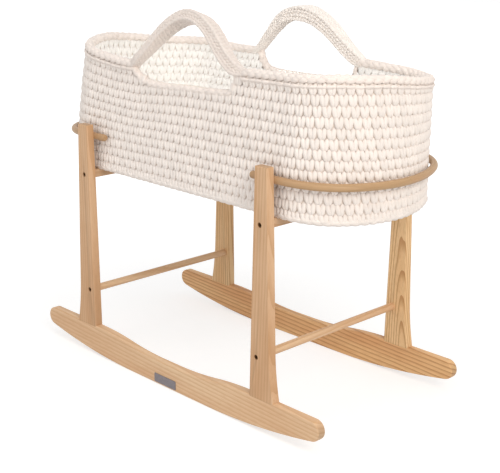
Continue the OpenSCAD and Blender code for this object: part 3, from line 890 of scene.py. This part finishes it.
# how far plaits keep from a hand opening, how their links bulge and how far columns are staggered
RIM_MARGIN, PLAIT_BULGE, PLAIT_STAGGER = 12, 1.2, 0.37


def smooth_line(corners):
    """Rounds a line of corners by cutting them off again and again."""
    course = np.array(corners, float)
    for _ in range(CUTS):
        a, b = course[:-1], course[1:]
        cut = np.stack([a * 0.75 + b * 0.25, a * 0.25 + b * 0.75], 1).reshape(-1, course.shape[1])
        course = np.concatenate([course[:1], cut, course[-1:]])
    return course


def lengths(course):
    """How far along a course each of its places lies."""
    steps = np.linalg.norm(np.diff(course, axis=0), axis=1)
    return np.concatenate([[0], np.cumsum(steps)])


def along(course, gone, r):
    """Both coordinates at lengths r along a course, which is carried straight on past its ends."""
    start = (course[1] - course[0]) / gone[1]
    stop = (course[-1] - course[-2]) / (gone[-1] - gone[-2])
    before = np.minimum(r, 0)
    after = np.maximum(r - gone[-1], 0)
    return [np.interp(r, gone, course[:, k]) + before * start[k] + after * stop[k] for k in (0, 1)]


def on_wall(corners, depth):
    """A course along the wall through places (round, up), at a depth, as a path and its length.
    The path gives places, and the ways out of the wall and across it."""
    course = smooth_line(corners)
    gone = lengths(course)

    def spot(r):
        s, h = along(course, gone, r)
        return wall(s, h, np.full(len(s), float(depth))), s

    def path(r):
        middle, s = spot(r)
        ahead = spot(r + WALL_STEP)[0] - spot(r - WALL_STEP)[0]
        _, _, nx, ny = oval(s)
        out = np.stack([nx, ny, 0 * nx], -1)
        over = np.cross(out, ahead)
        over /= np.maximum(np.linalg.norm(over, axis=1), 1e-6)[:, None]
        return middle, out, over
    return path, gone[-1]


def plait(corners, columns, make, keep=None):
    """A plaited edge: columns of links, each (angle, slant), laid round a course along the wall.
    Its make is (depth in the wall, radius, link), a link (half length, half width, half depth).
    Gives back meshes."""
    depth, radius, link = make
    path, length = on_wall(corners, depth)
    links = max(2, round(length / PITCH))
    meshes = []
    for number, (angle, slant) in enumerate(columns):
        def lay(x, z, y, row):
            r = (x + (0.5 + PLAIT_STAGGER * number % 1) * PITCH) * length / (links * PITCH)
            middle, out, over = path(r)
            turn = (math.radians(angle) + z / radius)[:, None]
            return middle + (out * np.cos(turn) + over * np.sin(turn)) * (radius + y)[:, None]
        one = stitch(((-link[0], 0, -slant), (link[0], 0, slant), PLAIT_BULGE, link[1], link[2]))
        meshes.append(crochet(one, links, 1, lay, keep))
    return meshes


def beside_straps(s, row):
    """Whether the rim runs here, clear of the hand openings."""
    return whole(s, row + ROWS - 1, RIM_MARGIN)


def level(h):
    """A course right round the wall at a height."""
    return ((0, h), (GIRTH / 2, h), (GIRTH, h))


RIM_LINKS = [(angle, 2 * sign) for angle, sign in zip((8, 55, 100, 148, 190), (1, -1, 1, -1, 1))]
CORD_LINKS = ((0, 0.4),)
BOTTOM_LINKS = ((-5, 0.8), (-62, -0.8), (-118, 0.8))
OPENING_LINKS = [(angle, 1.6 * slant) for angle, slant in RIM_LINKS]
# makes and heights of the rim, a thinner cord right under it, the bottom edge and the opening edges
RIM_MAKE, RIM_MID = (-10.3, 6.0, (11.5, 5.2, 4.4)), 255
CORD_MAKE, CORD_MID = (-4, 2, (12, 2.6, 2.6)), 245.5
BOTTOM_MAKE, BOTTOM_MID = (-7.5, 3.2, (13, 4.6, 4.2)), 6
OPENING_MAKE = (-9.8, 4.6, (11.5, 4.8, 4.2))
rim = plait(level(RIM_MID), RIM_LINKS, RIM_MAKE, beside_straps)
rim += plait(level(CORD_MID), CORD_LINKS, CORD_MAKE, beside_straps)
fabric("rim_plait", rim, "basket", "basket_wall", material=shaded_plait_cord)
bottom = plait(level(BOTTOM_MID), BOTTOM_LINKS, BOTTOM_MAKE)
fabric("bottom_edge", bottom, "basket", "basket_wall")

# the plait round each hand opening, from strap foot to strap foot: where its side's middle lies, and
# places (round from there, up)
OPENING_EDGES = {
    "front": (0, ((-176, 252), (-158, 238), (-135, 224), (-108, 214), (-45, 207), (17, 206), (89, 208),
                  (138, 211), (149, 224), (152, 250))),
    "rear": (GIRTH / 2, ((-160, 250), (-157, 226), (-145, 212), (-85, 206), (0, 206), (60, 207),
                         (104, 212), (121, 228), (133, 250)))}
for label, (middle, corners) in OPENING_EDGES.items():
    edge = plait([(middle + s, h) for s, h in corners], OPENING_LINKS, OPENING_MAKE)
    fabric(label + "_opening_edge", edge, "basket", "basket_wall", material=shaded_plait_cord)


# Carrying straps

# depth at the feet and the crown, and how it grows between them
FOOT_D, CROWN_D, SPREAD_POWER = 22, 38, 0.8
# length of the ends that sink into the rim, and their size there with what they gain further up
END_L, END_SIZE, END_GAIN = 50, 0.55, 0.45
# places of the left leg, crown and right leg along a strap, as shares of its length
LEG_SHARES = (0.25, 0.5, 0.75)
# links: half length, width and depth, bulge, and how far columns are staggered
LINK_L, LINK_W, LINK_D, LINK_BULGE, LINK_STAGGER = 12.5, 3.7, 3.6, 0.7, 0.31
# the core's depth under the links, how square its section is, its steps along and its sides
STRAP_CORE_IN, SQUARE, CORE_STEPS, CORE_SIDES = 2.4, 0.6, 60, 24
# each strap's side, lean, cotton (a copy of the cord painted for the light it gets), thickness on its left
# leg, crown and right leg, and its middle line as places (x, up from the pivot) on its own plane
STRAPS = {
    "front": (-1, 20, front_strap_cord, (17, 23, 26),
              ((-180, -20), (-140, -20), (-44, 93), (41, 94), (144, 1), (195, 1))),
    "rear": (1, 0, rear_strap_cord, (16, 33, 27),
             ((-160, -16), (-122, -16), (-86, 26), (-30, 80), (62, 80), (170, -11), (208, -11)))}


def strap_course(side, lean, thickness, corners):
    """A strap's path and its length. The path gives places, the ways across the strap and over it,
    its thickness and its depth. Its plane leans in from the pivot, and it spreads towards its crown."""
    course = smooth_line(corners)
    gone = lengths(course)
    tip, sway = math.cos(math.radians(lean)), math.sin(math.radians(lean))
    top = course[:, 1].max()

    def path(r):
        x, h = along(course, gone, r)
        dx, dh = np.subtract(along(course, gone, r + STRAP_STEP), along(course, gone, r - STRAP_STEP))
        run = np.hypot(dx, dh)
        raised = np.maximum(h, 0)
        middle = np.stack([x, side * (HANDLE_Y - raised * sway), PIVOT_Z + h + raised * (tip - 1)], -1)
        across = np.stack([-dh / run, -side * sway * dx / run, tip * dx / run], -1)
        over = np.tile((0.0, side * tip, sway), (len(x), 1))
        deep = FOOT_D + (CROWN_D - FOOT_D) * np.clip(h / top, 0, 1) ** SPREAD_POWER
        # the ends thin out and sink into the rim
        end = np.clip(np.minimum(r, gone[-1] - r) / END_L, 0, 1)
        thin = END_SIZE + END_GAIN * end * end * (3 - 2 * end)
        thick = np.interp(r / gone[-1], LEG_SHARES, thickness)
        return middle, across, over, thick * thin, deep * thin
    return path, gone[-1]


# the columns of links on a strap's four faces: which face, its side, place across it, slant
FACES = [(face, way, place, slant * sign)
         for face, slant, places in (("edge", 1.4, (-1, -0.6, -0.2, 0.2, 0.6, 1)),
                                     ("broad", 2.4, (-0.96, -0.32, 0.32, 0.96)))
         for way in (-1, 1) for place, sign in zip(places, (1, -1, 1, -1, 1, -1))]

for label, (side, lean, yarn, thickness, corners) in STRAPS.items():
    path, length = strap_course(side, lean, thickness, corners)
    links = round(2 * length / PITCH)
    meshes = []
    for number, (face, way, place, slant) in enumerate(FACES):
        def lay(x, z, y, row):
            r = (x + (0.25 + LINK_STAGGER * number % 1) * PITCH) * length / ((links + 0.5) * PITCH)
            middle, across, over, thick, deep = path(r)
            if face == "edge":
                a, b = way * (thick / 2 - LINK_D + y), place * (deep / 2 - LINK_W) + z
            else:
                a, b = place * (thick / 2 - LINK_W) + z, way * (deep / 2 - LINK_D + y)
            return middle + across * a[:, None] + over * b[:, None]
        one = stitch(((-LINK_L, 0, -slant), (LINK_L, 0, slant), LINK_BULGE, LINK_W, LINK_D))
        meshes.append(crochet(one, links, 1, lay))
    strap = fabric(label + "_strap", meshes, None, label + "_handle", material=yarn)

    def tube(u, v):
        middle, across, over, thick, deep = path(u * length)
        turn = 2 * math.pi * v
        a = (thick / 2 - STRAP_CORE_IN) * np.sign(np.cos(turn)) * np.abs(np.cos(turn)) ** SQUARE
        b = (deep / 2 - STRAP_CORE_IN) * np.sign(np.sin(turn)) * np.abs(np.sin(turn)) ** SQUARE
        return middle + across * a[:, None] + over * b[:, None]
    bm = sheet(CORE_STEPS, CORE_SIDES, tube)
    bmesh.ops.holes_fill(bm, edges=[e for e in bm.edges if e.is_boundary])
    face_out(bm)
    strap_core = inner_layer(bm, label + "_strap_core", None, yarn)
    foot_y = side * HANDLE_Y * MM
    for soft in (strap, strap_core):
        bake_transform(soft, "basket", label + "_handle", start=(0, foot_y, 0.655), end=(0, foot_y, 0.702))


# Floor of the basket: rounds of the same stitch from the wall in to a middle seam

ROUNDS, SEAM_X, FLOOR_IN = 8, 250, 21
# how much shorter the outer round is than the wall, and each next one than the one before
FLOOR_SHORT, ROUND_STEP = 60, 118
# heights of the floor's two faces, and how far out its stitches may reach as a share
FLOOR_TOP, FLOOR_UNDER, FLOOR_REACH = 14.6, 0.9, 1.02
# the inner layer's distance from the wall's skin, height, thickness, and steps round and inwards
PAD_IN, PAD_UP, PAD_T, PAD_STEPS, PAD_ROUNDS = 14, 6.6, 2, 120, 6


def on_floor(s, margin, share):
    """A place a share of the way from the seam out to a margin off the wall's skin."""
    x, y, nx, ny = oval(s)
    x, y = x - nx * margin, y - ny * margin
    seam = np.clip(x, -SEAM_X, SEAM_X)
    return seam + (x - seam) * share, y * share


def floor_round(count, number, top):
    """Where the stitches of a round of the floor lie, on its top or under it."""
    def place(x, z, y, row):
        share = np.minimum(1 - (number + z / ROW) / ROUNDS, FLOOR_REACH)
        x, side = on_floor(x / (count * PITCH) * GIRTH, FLOOR_IN, share)
        height = FLOOR_Z - sink(x) + (FLOOR_TOP + y if top else FLOOR_UNDER - y)
        return np.stack([x, side, height], -1)
    return place


for label, top in (("floor_inside", True), ("floor_under", False)):
    rounds = []
    for number in range(ROUNDS):
        count = round((GIRTH - FLOOR_SHORT - ROUND_STEP * (number + 0.5)) / PITCH)
        rounds.append(crochet(vee, count, 1, floor_round(count, number, top)))
    fabric(label, rounds, "basket", "basket_base", material=lit_inside_cord if top else cord)


def pad(u, v):
    """Where the floor's inner layer lies, from its outline in to the seam."""
    x, y = on_floor(u * GIRTH, PAD_IN, 1 - v)
    return np.stack([x, y, FLOOR_Z + PAD_UP - sink(x)], -1)


bm = sheet(PAD_STEPS, PAD_ROUNDS, pad)
bmesh.ops.solidify(bm, geom=bm.faces[:], thickness=PAD_T * MM)
inner_layer(bm, "floor_core", "basket")


# Camera, light and floor

AZIMUTH, ELEVATION, ROLL = (math.radians(d) for d in (45.649, 16.617, 0.471))
# in metres: the camera's distance, and the place that it looks at, to its right and up
DISTANCE, LOOK_RIGHT, LOOK_UP = 2.362, 0.0185, 0.2905
# the sensor's width in millimetres, and the lens's length as a multiple of it
SENSOR, LENS_TIMES = 36, 2.17942
back = Vector((math.sin(AZIMUTH) * math.cos(ELEVATION), -math.cos(AZIMUTH) * math.cos(ELEVATION),
               math.sin(ELEVATION)))
level_right = Vector((math.cos(AZIMUTH), math.sin(AZIMUTH), 0))
level_up = back.cross(level_right)
right = level_right * math.cos(ROLL) + level_up * math.sin(ROLL)
up = level_up * math.cos(ROLL) - level_right * math.sin(ROLL)
lens = bpy.data.cameras.new("camera")
lens.sensor_fit = "HORIZONTAL"
lens.sensor_width = SENSOR
lens.lens = SENSOR * LENS_TIMES
camera = placed("camera", lens)
eye = right * LOOK_RIGHT + Vector((0, 0, LOOK_UP)) + back * DISTANCE
camera.matrix_world = Matrix.Translation(eye) @ Matrix((right, up, back)).transposed().to_4x4()
scene.camera = camera


def lamp(name, place, aim, size, power, tint):
    """A soft round lamp at a place, aimed at another, in metres and watts."""
    light = bpy.data.lights.new(name, "AREA")
    light.shape = "DISK"
    light.size = size
    light.energy = power
    light.color = colour(tint)[:3]
    obj = placed(name, light)
    turn = (Vector(aim) - Vector(place)).to_track_quat("-Z", "Y").to_matrix().to_4x4()
    obj.matrix_world = Matrix.Translation(place) @ turn
    return obj


lamp("key", (2.6, -0.8, 2.0), (0, 0, 0.4), 1.6, 37, "#fff6ec")
lamp("fill", (-0.6, -2.9, 1.6), (0, 0, 0.4), 2.4, 13, "#fffaf4")
lamp("top", (0.4, -0.8, 3.2), (0, 0, 0.3), 2.2, 14, "#ffffff")
# extra soft light for the inside of the basket alone, so that the rim and straps don't clip
over = lamp("over", (0, 0, 1.9), (0, 0, 0.4), 0.6, 7.5, "#ffffff")
inside_work = bpy.data.collections.new("inside_work")
for name in ("wall_inside_left", "wall_inside_right", "wall_core", "floor_inside"):
    inside_work.objects.link(bpy.data.objects[name])
over.light_linking.receiver_collection = inside_work


def shown_rays(tree):
    """How far a ray is one that shows the white surroundings rather than lights by them."""
    ray = node(tree, "LightPath").outputs
    seen = maths(tree, "MAXIMUM", ray["Is Camera Ray"], ray["Is Glossy Ray"])
    return maths(tree, "MAXIMUM", seen, ray["Is Transmission Ray"])


# white surroundings, seen as plain white, that light the object more softly
world = bpy.data.worlds.new("white_room")
scene.world = world
world.use_nodes = True
tree = world.node_tree
tree.nodes.clear()
strength = ranged(tree, shown_rays(tree), 0, 1, 0.6, 1)
sky = node(tree, "Background", {"Color": (1, 1, 1, 1), "Strength": strength})
node(tree, "OutputWorld", {"Surface": sky.outputs[0]})

# pale floor: white to the camera where nothing shades it, with the stand's soft shadow on it
PAPER_SIZE, PAPER_DROP = 9, 0.0002
bm = bmesh.new()
bmesh.ops.create_grid(bm, x_segments=1, y_segments=1, size=PAPER_SIZE)
floor = placed("floor", meshed(bm, "floor"))
floor.location.z = -PAPER_DROP
paper, tree, _ = blank_material("white_paper_matt")
tree.nodes.clear()
matt = node(tree, "BsdfDiffuse", {"Color": (0.8, 0.8, 0.8, 1)})
pale = node(tree, "BsdfDiffuse", {"Color": (0.5, 0.5, 0.5, 1)})
# the paper lifts to white away from the stand, where the lamps reach it less
spot = node(tree, "TexCoord").outputs["Object"]
away = node(tree, "VectorMath", {0: spot}, operation="LENGTH")
lift = ranged(tree, away.outputs["Value"], 0.6, 2, 0.62, 0.86)
glow = node(tree, "Emission", {"Color": (1, 1, 1, 1), "Strength": lift})
lifted = node(tree, "AddShader", {0: pale.outputs[0], 1: glow.outputs[0]})
seen = node(tree, "MixShader", {0: shown_rays(tree), 1: matt.outputs[0], 2: lifted.outputs[0]})
node(tree, "OutputMaterial", {"Surface": seen.outputs[0]})
floor.data.materials.append(paper)

scene.view_settings.view_transform = "Standard"
